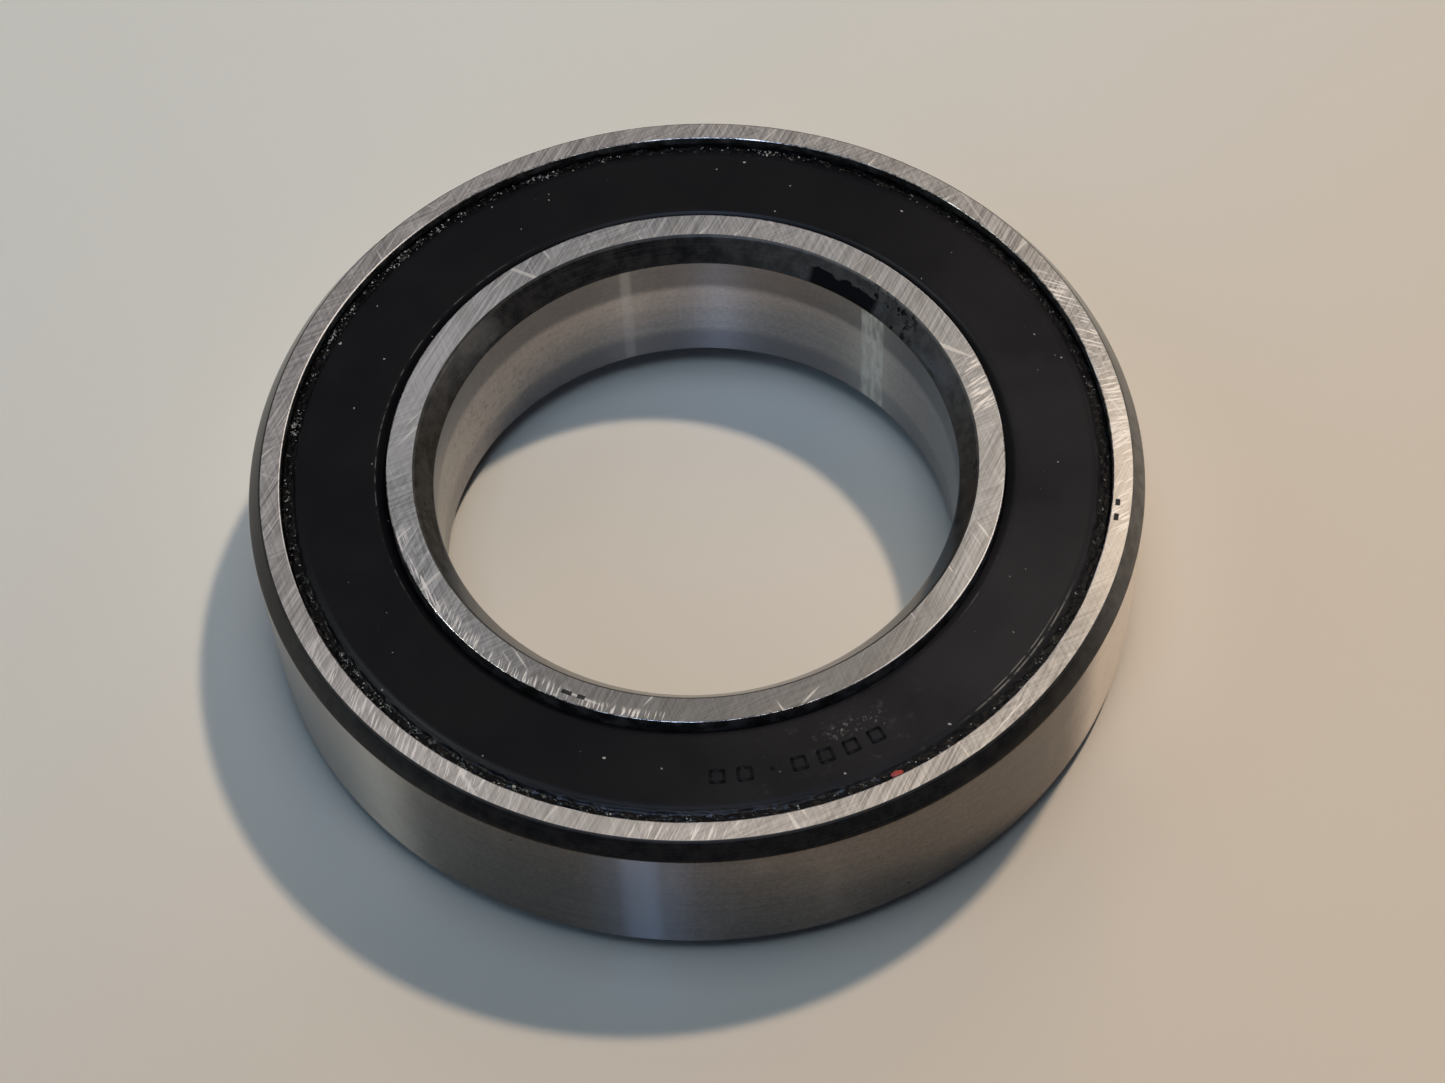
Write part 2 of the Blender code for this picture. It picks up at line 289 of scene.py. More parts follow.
def ground_face(name, tint, dashes, sheen, scratch_glints):
    """Side face of a ring: straight grinding lines that cross it, a few scratches, two etched dashes.

    Where the lines lie well for the light the face is brighter or darker: sheen gives those stretches.
    Each stretch in scratch_glints (degrees, half, radius, half breadth, line direction) has close
    scratches with a painted glint on them.
    """
    p = Pattern(name)
    fine = p.lines(62.0, 0.16, 5.0, detail=3.0)
    cross = p.lines(24.0, 0.20, 4.0, detail=3.0)
    steep = p.lines(106.0, 0.18, 3.5, detail=2.0)
    patches = p.noise(p.place, 0.11, 2.0)
    cross_share = p.remap(patches, 0.42, 0.60)
    lines = p.math(
        "ADD",
        p.math("MULTIPLY", fine, p.math("SUBTRACT", 1.0, p.math("MULTIPLY", cross_share, 0.6))),
        p.math("MULTIPLY", p.math("MULTIPLY", cross, cross_share), 0.6),
    )
    lines = p.math("ADD", p.math("MULTIPLY", lines, 0.75), p.math("MULTIPLY", steep, 0.25))
    scratches = p.any_of(
        p.remap(p.lines(48.0, 0.55, 9.0, detail=1.0), 0.68, 0.74),
        p.remap(p.lines(-28.0, 0.7, 8.0, detail=1.0), 0.70, 0.76),
        p.remap(p.lines(118.0, 0.6, 7.0, detail=1.0), 0.70, 0.75),
    )
    # Masks of the close scratches that carry a painted glint.
    scratch_glint_masks = [
        p.all_of(
            p.sector(degrees, half, half * 0.5),
            p.between(p.radius(), radius, breadth, breadth * 0.6),
            p.remap(p.lines(direction, 0.20, 2.4, detail=2.0), 0.54, 0.62),
        )
        for degrees, half, radius, breadth, direction in scratch_glints
    ]
    stains = p.noise(p.place, 0.35, 4.0, 0.6)
    dark = tuple(0.58 * value for value in tint)
    light = tuple(1.40 * value for value in tint)
    colour = p.mix(p.remap(lines, 0.38, 0.64, smooth=False), dark, light)
    for degrees, half, shade, strength in sheen:
        stretch = p.sector(degrees, half, half * 0.8)
        colour = p.mix(p.math("MULTIPLY", stretch, strength), colour, shade)
    colour = p.mix(p.math("MULTIPLY", p.remap(stains, 0.52, 0.72), 0.25), colour, (0.30, 0.27, 0.23))
    colour = p.mix(p.math("MULTIPLY", scratches, 0.7), colour, (0.86, 0.84, 0.80))
    # Painted glint: the close scratches in the scratch_glints stretches are painted near white.
    colour = p.mix(p.math("MULTIPLY", p.any_of(*scratch_glint_masks), 0.9), colour, (1.0, 0.96, 0.92))
    marks = p.any_of(*[etched_dash(p, *dash) for dash in dashes])
    colour = p.mix(p.math("MULTIPLY", marks, 0.95), colour, (0.018, 0.016, 0.014))
    rough = p.math("ADD", 0.27, p.math("MULTIPLY", lines, 0.16))
    rough = p.math("ADD", rough, p.math("MULTIPLY", marks, 0.3))
    height = p.math("SUBTRACT", lines, p.math("MULTIPLY", scratches, 0.8))
    return p.finish(colour, rough, 1.0, p.bump(height, 0.006))


def turned_chamfer(name, dark, light, gloss, painted_reflections, oil_degrees=None):
    """Unground corner: black skin from heat treatment, mottled, with fine turning lines round it.

    Over the listed stretches (degrees, half, strength) the skin is lightened by painted reflection. Old
    oil lies at oil_degrees.
    """
    p = Pattern(name)
    mottle = p.noise(p.place, 0.9, 5.0, 0.65)
    turning = p.hoops(0.09, 12.0, 3.0)
    shade = p.math("ADD", p.math("MULTIPLY", mottle, 0.7), p.math("MULTIPLY", turning, 0.3))
    colour = p.mix(p.remap(shade, 0.34, 0.68), dark, light)
    height = p.math("ABSOLUTE", p.part(p.place, 2))
    rough = p.math("ADD", 0.10, p.math("MULTIPLY", mottle, 0.12))
    rough = p.math("ADD", rough, p.math("MULTIPLY", p.remap(height, 7.30, 7.42), 0.4))
    patchy = p.remap(mottle, 0.36, 0.64, 0.65, 1.0)
    # Painted reflection: the skin is lighter over these stretches, where it catches the light.
    for degrees, half, strength in painted_reflections:
        stretch = p.all_of(p.sector(degrees, half, half * 0.5), patchy)
        colour = p.mix(p.math("MULTIPLY", stretch, strength), colour, (0.21, 0.20, 0.185))
    if oil_degrees is not None:
        ragged = p.math("MULTIPLY", p.math("SUBTRACT", p.noise(p.place, 0.8, 3.0), 0.5), 1.3)
        level = p.math("ADD", p.part(p.place, 2), ragged)
        pool = p.all_of(p.sector(oil_degrees, 8.6, 1.0), p.remap(level, 6.62, 6.50))
        splash = p.all_of(
            p.sector(oil_degrees - 12.0, 7.0, 4.0),
            p.remap(p.noise(p.place, 1.5, 4.0, 0.6), 0.54, 0.60),
        )
        colour = p.mix(p.any_of(pool, splash), colour, (0.001, 0.001, 0.001))
    return p.finish(colour, rough, 0.25, p.bump(shade, 0.003), Specular_IOR_Level=gloss)


def satin_wall(name, tint, rough_base, stain, overlay):
    """Ground outside diameter or bore: fine lines round it, soft streaks of light along the axis.

    overlay(p) gives a list of (mask, colour) over the steel: darker stretches, specks, fretting, painted
    shade bands and painted highlight strips.
    """
    p = Pattern(name)
    fine = p.hoops(0.05, 9.0, 3.0)
    broad = p.hoops(0.55, 16.0, 2.0)
    grain = p.noise(p.place, 3.2, 3.0, 0.6)
    smudge = p.noise(p.scaled(p.place, (1.0, 1.0, 0.35)), 0.30, 4.0, 0.6)
    shade = p.math("ADD", p.math("MULTIPLY", fine, 0.30), p.math("MULTIPLY", broad, 0.20))
    shade = p.math("ADD", shade, p.math("MULTIPLY", grain, 0.50))
    dark = tuple(0.80 * value for value in tint)
    light = tuple(1.16 * value for value in tint)
    colour = p.mix(p.remap(shade, 0.36, 0.64, smooth=False), dark, light)
    # Overlays go over the steel colour, painted shade and painted highlight among them.
    for mask, overlay_colour in overlay(p):
        strength = p.math("MULTIPLY", mask, p.remap(shade, 0.36, 0.64, 1.0, 0.92))
        colour = p.mix(strength, colour, overlay_colour)
    colour = p.mix(p.math("MULTIPLY", p.remap(smudge, 0.48, 0.78), 0.28), colour, stain)
    rough = p.math("ADD", rough_base, p.math("MULTIPLY", smudge, 0.05))
    tangent = p.tree.nodes.new("ShaderNodeTangent")
    tangent.direction_type = "RADIAL"
    tangent.axis = "Z"
    p.tree.links.new(tangent.outputs[0], p.shader.inputs["Tangent"])
    normal = p.bump(shade, 0.0006)
    return p.finish(colour, rough, 1.0, normal, Anisotropic=1.0, Anisotropic_Rotation=0.25)


def outer_tones_and_highlight(p):
    """Over the outside diameter: grey at the left, darker and brown over the front, a strip of painted
    highlight, specks.
    """
    ends = p.math("MULTIPLY", p.math("SUBTRACT", p.noise(p.place, 0.25, 3.0), 0.5), 0.3)
    front = p.remap(p.math("ADD", p.sector(277.0, 48.0, 10.0), ends), 0.1, 0.9)
    specks = p.remap(p.noise(p.place, 1.15, 1.0), 0.79, 0.81)
    return [
        (p.sector(200.0, 26.0, 12.0), (0.33, 0.305, 0.28)),
        (front, (0.113, 0.098, 0.085)),
        # Painted highlight: a pale bluish strip down the wall, painted as the reflection of the front
        # window.
        (p.math("MULTIPLY", p.sector(261.0, 4.5, 3.0), 0.4), (0.20, 0.22, 0.26)),
        (p.math("MULTIPLY", p.sector(261.0, 1.5, 1.5), 0.45), (0.32, 0.36, 0.42)),
        (specks, (0.03, 0.027, 0.025)),
    ]


def bore_wear_shade_and_highlights(p):
    """Bands of the bore: painted shade at top and foot, a fretted patch, and two strips of painted
    highlight along it.
    """
    height = p.math("ADD", p.part(p.place, 2), p.math("MULTIPLY", p.noise(p.place, 0.2, 2.0), 0.5))
    top = p.math("MULTIPLY", p.remap(height, 2.3, 3.3), 0.85)
    foot = p.math("MULTIPLY", p.remap(height, -3.4, -2.2, 1.0, 0.0), 0.8)
    highlight_grain = p.remap(p.noise(p.scaled(p.turned(44.0), (1.0, 2.2, 0.6)), 1.0, 3.0), 0.36, 0.64, 0.20, 0.60)
    fretted = p.all_of(p.sector(175.0, 42.0, 25.0), p.remap(p.noise(p.place, 1.4, 5.0, 0.7), 0.52, 0.66))
    return [
        # Painted shade: darker bands at the top and at the foot of the bore.
        (top, (0.120, 0.113, 0.112)),
        (foot, (0.20, 0.19, 0.20)),
        (p.math("MULTIPLY", fretted, 0.55), (0.11, 0.10, 0.09)),
        # Painted highlight: two pale strips down the bore, painted as reflections of the lamps.
        (p.math("MULTIPLY", p.sector(104.6, 0.9, 0.8), 0.25), (0.60, 0.58, 0.56)),
        (p.all_of(p.sector(43.8, 3.3, 0.4), highlight_grain), (0.60, 0.60, 0.565)),
    ]


def polished_edge(name, highlight_stretches):
    """The burnished line where a grinding wheel met a corner: nicked, worn bright in places, with painted
    highlight over some stretches.
    """
    p = Pattern(name)
    nicks = p.noise(p.place, 2.2, 3.0, 0.6)
    wear_and_highlight = p.remap(p.noise(p.place, 0.22, 2.0), 0.56, 0.72)
    # Painted highlight: the edge is bright over the listed stretches as well as where it is worn.
    wear_and_highlight = p.any_of(wear_and_highlight, *[p.sector(degrees, half, 8.0) for degrees, half in highlight_stretches])
    dull = p.mix(p.remap(nicks, 0.40, 0.62), (0.08, 0.075, 0.07), (0.34, 0.33, 0.31))
    bright = p.mix(p.remap(nicks, 0.30, 0.46), (0.60, 0.58, 0.56), (1.0, 0.98, 0.95))
    colour = p.mix(wear_and_highlight, dull, bright)
    rough = p.math("ADD", 0.20, p.math("MULTIPLY", nicks, 0.16))
    return p.finish(colour, rough, 1.0, p.bump(nicks, 0.02))


def recess_steel(name):
    """Turned steel in the seal seats and beside the raceways: dull, and darker than the side faces."""
    p = Pattern(name)
    turning = p.hoops(0.12, 10.0, 3.0)
    overlay = p.noise(p.place, 0.7, 4.0, 0.6)
    colour = p.mix(p.remap(overlay, 0.40, 0.66), (0.10, 0.095, 0.085), (0.26, 0.25, 0.235))
    rough = p.math("ADD", 0.30, p.math("MULTIPLY", overlay, 0.20))
    return p.finish(colour, rough, 1.0, p.bump(turning, 0.006))


def raceway_steel(name):
    """Honed groove: bright, with very fine lines round it and a slightly darker running track."""
    p = Pattern(name)
    honing = p.hoops(0.04, 14.0, 2.0)
    track = p.between(p.part(p.place, 2), 0.0, 1.1, 0.5)
    colour = p.mix(p.math("MULTIPLY", track, 0.45), (0.66, 0.65, 0.63), (0.45, 0.44, 0.42))
    rough = p.math("ADD", 0.10, p.math("MULTIPLY", honing, 0.08))
    return p.finish(colour, rough, 1.0, p.bump(honing, 0.001))


def seal_rubber_material():
    """Matte black nitrile rubber, with faint mould rings, scuffs, dust and pale crumbs in the torn rim, a
    painted sheen to the lower right, painted glints, and painted shade over the rim in its gap.
    """
    p = Pattern("seal_rubber_moulded")
    radius = p.radius()
    grain = p.noise(p.place, 5.0, 4.0, 0.6)
    cloud = p.noise(p.place, 0.16, 3.0, 0.5)
    rings = p.rings(0.14)
    colour = p.mix(p.remap(cloud, 0.35, 0.65), (0.0024, 0.0024, 0.0036), (0.0040, 0.0038, 0.0048))
    # Painted sheen: the rubber is lighter and warmer towards the lower right, where the light glances off
    # it.
    overlay = p.any_of(
        p.all_of(p.sector(335.0, 52.0, 38.0), p.remap(cloud, 0.25, 0.65, 0.45, 0.8)),
        p.all_of(p.sector(326.0, 17.0, 10.0), p.remap(cloud, 0.25, 0.65, 0.85, 1.2)),
    )
    colour = p.mix(p.math("MULTIPLY", overlay, 0.9), colour, (0.0205, 0.0188, 0.0205))
    dust = p.remap(p.noise(p.place, 1.7, 1.0), 0.775, 0.80)
    smear = p.all_of(p.remap(p.noise(p.place, 0.8, 5.0, 0.7), 0.56, 0.76), p.sector(292.0, 12.0, 8.0))
    scuffs = p.all_of(p.between(radius, 26.2, 0.5, 0.4), p.sector(293.0, 4.0, 3.0))
    speckle = p.remap(p.noise(p.place, 3.2, 3.0, 0.7), 0.55, 0.66)
    scuffed = p.all_of(scuffs, speckle)
    # Mould witness lines near the rim, with a painted glint over the lower right.
    witness = p.all_of(
        p.any_of(
            p.between(radius, 30.22, 0.05, 0.04),
            p.all_of(p.between(radius, 29.95, 0.035, 0.03), p.sector(321.0, 7.0, 3.0)),
        ),
        p.sector(321.0, 10.0, 5.0),
        p.remap(p.noise(p.place, 1.1, 3.0), 0.30, 0.50),
    )
    lip_glint = p.all_of(
        p.between(radius, 24.30, 0.035, 0.03),
        p.any_of(p.sector(165.0, 35.0, 15.0), p.sector(329.0, 7.0, 2.0)),
        p.remap(p.noise(p.place, 0.9, 3.0), 0.46, 0.60),
    )
    rim = p.remap(radius, 30.45, 30.7)
    crumbs = p.all_of(rim, p.remap(p.noise(p.place, 2.6, 5.0, 0.75), 0.58, 0.68))
    colour = p.mix(p.math("MULTIPLY", smear, 0.10), colour, (0.25, 0.24, 0.24))
    colour = p.mix(p.math("MULTIPLY", scuffed, 0.35), colour, (0.42, 0.40, 0.38))
    colour = p.mix(p.math("MULTIPLY", witness, 0.38), colour, (0.55, 0.49, 0.44))
    colour = p.mix(p.math("MULTIPLY", lip_glint, 0.22), colour, (0.34, 0.34, 0.36))
    # Painted shade: the torn rim down in the gap beside the ring is darkened.
    colour = p.mix(p.math("MULTIPLY", rim, 0.7), colour, (0.0015, 0.0013, 0.0012))
    colour = p.mix(p.math("MULTIPLY", crumbs, 0.28), colour, (0.33, 0.31, 0.29))
    colour = p.mix(p.math("MULTIPLY", dust, 0.5), colour, (0.60, 0.58, 0.55))
    rough = p.math("ADD", 0.36, p.math("MULTIPLY", grain, 0.14))
    rough = p.math("SUBTRACT", rough, p.math("MULTIPLY", witness, 0.25))
    rough = p.math("SUBTRACT", rough, p.math("MULTIPLY", rim, 0.18))
    height = p.math("ADD", p.math("MULTIPLY", grain, 0.6), p.math("MULTIPLY", rings, 0.4))
    normal = p.bump(height, 0.012)
    return p.finish(colour, rough, 0.0, normal, Specular_IOR_Level=0.11)


def crumb_rubber_material():
    """Loose shreds of rubber in the rim: glossy where torn."""
    p = Pattern("rubber_shreds")
    tear = p.noise(p.place, 3.0, 3.0, 0.6)
    colour = p.mix(p.remap(tear, 0.44, 0.60), (0.008, 0.008, 0.009), (0.30, 0.29, 0.28))
    rough = p.math("ADD", 0.16, p.math("MULTIPLY", tear, 0.3))
    return p.finish(colour, rough, 0.0, p.bump(tear, 0.03), Specular_IOR_Level=0.6)


def mark_rubber_material():
    """Rubber of the moulded marks: blacker than the face round them with its dust and painted sheen, and a
    little smoother.
    """
    p = Pattern("rubber_marks")
    grain = p.noise(p.place, 4.0, 3.0, 0.6)
    colour = p.mix(p.remap(grain, 0.35, 0.70), (0.0006, 0.0006, 0.0008), (0.0060, 0.0055, 0.0055))
    rough = p.math("ADD", 0.34, p.math("MULTIPLY", grain, 0.2))
    return p.finish(colour, rough, 0.0, p.bump(grain, 0.01), Specular_IOR_Level=0.12)


def paint_fleck_material():
    p = Pattern("red_paint")
    grain = p.noise(p.place, 3.5, 4.0, 0.6)
    colour = p.mix(grain, (0.20, 0.018, 0.016), (0.36, 0.05, 0.04))
    rough = p.math("ADD", 0.40, p.math("MULTIPLY", grain, 0.2))
    return p.finish(colour, rough, 0.0, p.bump(grain, 0.03))


def plain_steel(name, dark, light, rough_base, depth):
    """Sheet, wire or ball steel out of sight: cloudy, with fine grain."""
    p = Pattern(name)
    cloud = p.noise(p.place, 0.5, 4.0, 0.6)
    grain = p.noise(p.place, 6.0, 3.0, 0.6)
    colour = p.mix(p.remap(cloud, 0.38, 0.64), dark, light)
    rough = p.math("ADD", rough_base, p.math("MULTIPLY", grain, 0.12))
    return p.finish(colour, rough, 1.0, p.bump(grain, depth))


# ---------------------------------------------------------------------------------------------------
# Turned shapes
# ---------------------------------------------------------------------------------------------------


def soften(outline, burnished_radius, edge_slot):
    """Round every corner of a closed outline of (radius, height, slot) by a small arc.

    Arcs at the burnished radius are wider and take the edge's slot, the others that of their stretch.
    """
    softened = []
    for before, corner, after in zip(outline[-1:] + outline[:-1], outline, outline[1:] + outline[:1]):
        point = Vector(corner[:2])
        back = Vector(before[:2]) - point
        ahead = Vector(after[:2]) - point
        turn = math.pi - back.angle(ahead)
        if turn < math.radians(25):
            softened.append(corner)
            continue
        burnished = abs(point.x - burnished_radius) < 0.01
        size = BURNISHED_SIZE if burnished else EDGE_SIZE
        slot = edge_slot if burnished else corner[2]
        start = point + back.normalized() * min(size, back.length / 3)
        end = point + ahead.normalized() * min(size, ahead.length / 3)
        middle = (start + end + 2 * point) / 4
        softened.append((start.x, start.y, slot))
        softened.append((middle.x, middle.y, slot))
        softened.append((end.x, end.y, corner[2]))
    return softened


def turned_object(name, outline, segments, materials, nudge=None):
    """Ring turned from a closed outline of (radius, height, slot); slot is that of the next stretch."""
    count = len(outline)
    points = []
    for step in range(segments):
        angle = 2 * math.pi * step / segments
        for radius, height, _ in outline:
            if nudge:
                radius, height = nudge(radius, height, angle)
            points.append((radius * MM * math.cos(angle), radius * MM * math.sin(angle), height * MM))
    faces = []
    slots = []
    for step in range(segments):
        here = step * count
        following = (step + 1) % segments * count
        for a in range(count):
            b = (a + 1) % count
            faces.append((here + a, following + a, following + b, here + b))
            slots.append(outline[a][2])
    mesh = bpy.data.meshes.new(name)
    mesh.from_pydata(points, [], faces)
    for material in materials:
        mesh.materials.append(material)
    mesh.polygons.foreach_set("material_index", slots)
    return smooth_object(name, mesh)


def smooth_object(name, mesh):
    """Object of a closed mesh with faces out, smooth but for its true corners."""
    bm = bmesh.new()
    bm.from_mesh(mesh)
    bmesh.ops.recalc_face_normals(bm, faces=bm.faces)
    bm.to_mesh(mesh)
    bm.free()
    mesh.shade_smooth()
    obj = bpy.data.objects.new(name, mesh)
    bpy.context.scene.collection.objects.link(obj)
    weighted = obj.modifiers.new("weighted_normals", "WEIGHTED_NORMAL")
    weighted.weight = 80
    return obj


def groove_points(bottom, section, shoulder, slot):
    outward = 1 if bottom > shoulder else -1
    centre = bottom - outward * section
    reach = math.acos(outward * (shoulder - centre) / section)
    angles = [reach * (2 * step / GROOVE_STEPS - 1) for step in range(GROOVE_STEPS + 1)]
    return [
        (centre + outward * section * math.cos(angle), section * math.sin(angle), slot)
        for angle in angles
    ]


def chamfer_points(wall, face, slot):
    """Points of a chamfer from its face edge to its wall edge, bulging a little towards the corner."""
    across = math.copysign(CHAMFER_BULGE, wall[0] - face[0])
    bulge = Vector((across, CHAMFER_BULGE))
    points = []
    for step in range(CHAMFER_STEPS):
        share = step / CHAMFER_STEPS
        base = Vector(face).lerp(Vector(wall), share) + bulge * 4 * share * (1 - share)
        points.append((base.x, base.y, slot))
    return points


def mirrored(upper, wall_slot):
    """The lower half of an outline, from its upper half that ends at the top of a wall."""
    slots = [point[2] for point in upper]
    slots_below = slots[-2::-1] + slots[:1]
    lower = [(radius, -height, slot) for (radius, height, _), slot in zip(reversed(upper), slots_below)]
    upper[-1] = (*upper[-1][:2], wall_slot)
    return upper + lower


def add_outer_ring(half_width, outside_radius):
    face_steel = ground_face(
        "outer_face_ground",
        (0.485, 0.466, 0.451),
        [(346.4, 31.95, 0.62, 0.36), (348.8, 31.93, 0.58, 0.36)],
        [(245.0, 32.0, (0.80, 0.77, 0.73), 0.32), (350.0, 14.0, (0.95, 0.86, 0.76), 0.50)],
        [
            (226.0, 16.0, 32.2, 0.8, 74.0),
            (266.0, 7.0, 32.4, 0.6, 66.0),
            (352.0, 9.0, 32.2, 0.8, 30.0),
            (5.0, 7.0, 32.2, 0.8, 6.0),
            (22.0, 7.0, 32.2, 0.8, -24.0),
        ],
    )
    materials = [
        face_steel,
        turned_chamfer(
            "outer_chamfer_skin",
            (0.006, 0.005, 0.0045),
            (0.024, 0.021, 0.018),
            0.36,
            [(12.0, 34.0, 0.60), (222.0, 14.0, 0.06)],
        ),
        satin_wall("outer_wall_satin", (0.84, 0.755, 0.66), 0.16, (0.30, 0.27, 0.23), outer_tones_and_highlight),
        recess_steel("outer_seat_turned"),
        raceway_steel("outer_raceway_honed"),
        polished_edge("outer_edge_burnished", [(165.0, 35.0)]),
    ]
    face, chamfer, wall, seat, raceway, edge = range(6)
    wall_z = half_width - OUTER_CHAMFER_AXIAL
    face_radius = outside_radius - OUTER_CHAMFER_FACE
    upper = [
        (OUTER_SHOULDER_RADIUS, SEAT_FLOOR_Z - SEAT_CORNER, seat),
        (OUTER_SHOULDER_RADIUS + SEAT_CORNER, SEAT_FLOOR_Z, seat),
        (SNAP_GROOVE_RADIUS, SEAT_FLOOR_Z, seat),
        (SNAP_GROOVE_RADIUS, SNAP_GROOVE_TOP_Z, seat),
        (SEAT_MOUTH_RADIUS, SEAT_MOUTH_Z, seat),
        (SEAT_MOUTH_RADIUS, half_width, face),
    ]
    upper += chamfer_points((outside_radius, wall_z), (face_radius, half_width), chamfer)
    upper.append((outside_radius, wall_z, wall))
    groove = groove_points(OUTER_GROOVE_BOTTOM, OUTER_GROOVE_RADIUS, OUTER_SHOULDER_RADIUS, raceway)
    groove[-1] = (*groove[-1][:2], seat)
    outline = soften(groove + mirrored(upper, wall), SEAT_MOUTH_RADIUS, edge)
    ring = turned_object("outer_ring_ground", outline, RING_SEGMENTS, materials)
    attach(ring, "outer")
    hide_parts("outer_ring")


def add_inner_ring(half_width):
    face_steel = ground_face(
        "inner_face_ground",
        (0.435, 0.442, 0.45),
        [(243.9, 22.70, 0.80, 0.34), (246.75, 22.68, 0.60, 0.34)],
        [
            (275.0, 36.0, (0.17, 0.165, 0.155), 0.68),
            (155.0, 18.0, (0.72, 0.72, 0.73), 0.40),
            (15.0, 42.0, (0.60, 0.575, 0.55), 0.20),
        ],
        [
            (229.0, 15.0, 23.0, 0.55, 72.0),
            (205.0, 9.0, 23.0, 0.5, 108.0),
            (255.0, 8.0, 23.1, 0.4, 70.0),
            (14.0, 6.0, 22.6, 0.8, 34.0),
        ],
    )
    materials = [
        face_steel,
        turned_chamfer(
            "bore_chamfer_skin",
            (0.007, 0.006, 0.005),
            (0.042, 0.037, 0.033),
            0.42,
            [(38.0, 36.0, 0.40), (190.0, 40.0, 0.15)],
            53.0,
        ),
        satin_wall("bore_wall_satin", (0.365, 0.33, 0.305), 0.14, (0.23, 0.205, 0.18), bore_wear_shade_and_highlights),
        recess_steel("inner_land_turned"),
        raceway_steel("inner_raceway_honed"),
        polished_edge("inner_edge_burnished", [(325.0, 25.0), (40.0, 20.0)]),
    ]
    face, chamfer, wall, land, raceway, edge = range(6)
    wall_z = half_width - BORE_CHAMFER_AXIAL
    face_radius = BORE_RADIUS + BORE_CHAMFER_FACE
    upper = [
        (INNER_SHOULDER_RADIUS, INNER_SHOULDER_Z, land),
        (LIP_LAND_RADIUS, LIP_LAND_Z, land),
        (LIP_LAND_RADIUS, half_width, face),
    ]
    upper += chamfer_points((BORE_RADIUS, wall_z), (face_radius, half_width), chamfer)
    upper.append((BORE_RADIUS, wall_z, wall))
    groove = groove_points(INNER_GROOVE_BOTTOM, INNER_GROOVE_RADIUS, INNER_SHOULDER_RADIUS, raceway)
    groove[-1] = (*groove[-1][:2], land)
    outline = soften(groove + mirrored(upper, wall), LIP_LAND_RADIUS, edge)
    ring = turned_object("inner_ring_ground", outline, RING_SEGMENTS, materials)
    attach(ring, "inner")
    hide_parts("inner_ring")


# ---------------------------------------------------------------------------------------------------
# Seals
# ---------------------------------------------------------------------------------------------------


def seal_outline():
    """Section of a seal's rubber: face, mould witness, torn rim, bead, channel for the insert, lip."""
    face = [
        (SEAL_FACE_INNER, SEAL_FACE_Z - 0.04, 0),
        (SEAL_FACE_INNER + 0.08, SEAL_FACE_Z, 0),
    ]
    steps = 14
    start = SEAL_FACE_INNER + 0.08
    stop = SEAL_FACE_OUTER - WITNESS_WIDTH
    for step in range(1, steps + 1):
        face.append((start + (stop - start) * step / steps, SEAL_FACE_Z, 0))
    rim = [
        (SEAL_FACE_OUTER - WITNESS_WIDTH + 0.05, SEAL_FACE_Z - WITNESS_DROP, 0),
        (SEAL_FACE_OUTER - 0.04, SEAL_FACE_Z - WITNESS_DROP, 0),
        (SEAL_FACE_OUTER + 0.04, SEAL_FACE_Z - 0.10, 0),
        (30.48, 6.86, 0),
        (30.58, 6.76, 0),
    ]
    rim += [(30.66 + 0.075 * step, 6.74 - 0.015 * step, 0) for step in range(10)]
    behind = [
        (31.48, 6.50, 0),
        (31.60, 6.32, 0),
        (31.70, 6.20, 0),
        (31.70, 5.75, 0),
        (31.40, 5.67, 0),
        (31.10, 5.60, 0),
        (31.10, 6.35, 0),
        (24.75, 6.35, 0),
        (24.75, 5.75, 0),
        (24.10, 5.65, 0),
        (23.53, 5.95, 0),
        (23.53, 6.22, 0),
        (23.60, 6.34, 0),
        (23.80, 6.56, 0),
        (24.00, 6.82, 0),
    ]
    return face + rim + behind


def torn_rim(radius, height, angle):
    """Roughness of the rubber: a slightly wavy face edge, and a rim torn into crumbs."""
    if height < 6.4 or radius < 30.2:
        return radius, height
    spot = Vector((math.cos(angle), math.sin(angle), 0.0)) * radius
    depth = min(1.0, max(0.0, (radius - 30.3) / 0.25))
    coarse = noise.noise(spot * 0.9)
    crumb = noise.noise(spot * 3.1 + Vector((3.0, 7.0, 1.0)))
    fine = noise.noise(spot * 6.3)
    rise = (0.10 * coarse + 0.13 * crumb + 0.07 * fine) * depth
    push = 0.05 * coarse + 0.04 * crumb
    limit = SEAT_MOUTH_RADIUS - 0.06 if height > 6.55 else radius
    return min(radius + push, limit), min(height + rise, SEAL_FACE_Z)


def mark_bar(bm, degrees, radius, length, breadth):
    """A small raised bar with round edges, its length along the seal's circumference."""
    bar = bmesh.ops.create_cube(bm, size=1.0)
    verts = bar["verts"]
    bmesh.ops.scale(bm, verts=verts, vec=(breadth * MM, length * MM, 2 * MARK_RISE * MM))
    edges = list({edge for vert in verts for edge in vert.link_edges})
    rounded = bmesh.ops.bevel(bm, geom=edges, offset=0.06 * MM, segments=2, affect="EDGES")
    verts = list({vert for face in rounded["faces"] for vert in face.verts})
    angle = math.radians(degrees)
    place = Vector((radius * math.cos(angle), radius * math.sin(angle), SEAL_FACE_Z)) * MM
    matrix = Matrix.Translation(place) @ Matrix.Rotation(angle, 4, "Z")
    bmesh.ops.transform(bm, matrix=matrix, verts=verts)


def seal_marks_mesh():
    """Plain moulded index marks: small frames of four bars in a row, with a dot between two groups."""
    bm = bmesh.new()
    for number in range(MARK_COUNT):
        degrees = MARK_START + MARK_STEP * number
        if number == DOT_NUMBER:
            mark_bar(bm, degrees, 27.6, 0.30, 0.30)
            continue
        for offset in (-0.48, 0.48):
            mark_bar(bm, degrees, MARK_RADIUS + offset, 1.10, 0.24)
        for offset in (-1.0, 1.0):
            mark_bar(bm, degrees + offset, MARK_RADIUS, 0.22, 1.10)
    mesh = bpy.data.meshes.new("seal_marks")
    bm.to_mesh(mesh)
    bm.free()
    return mesh


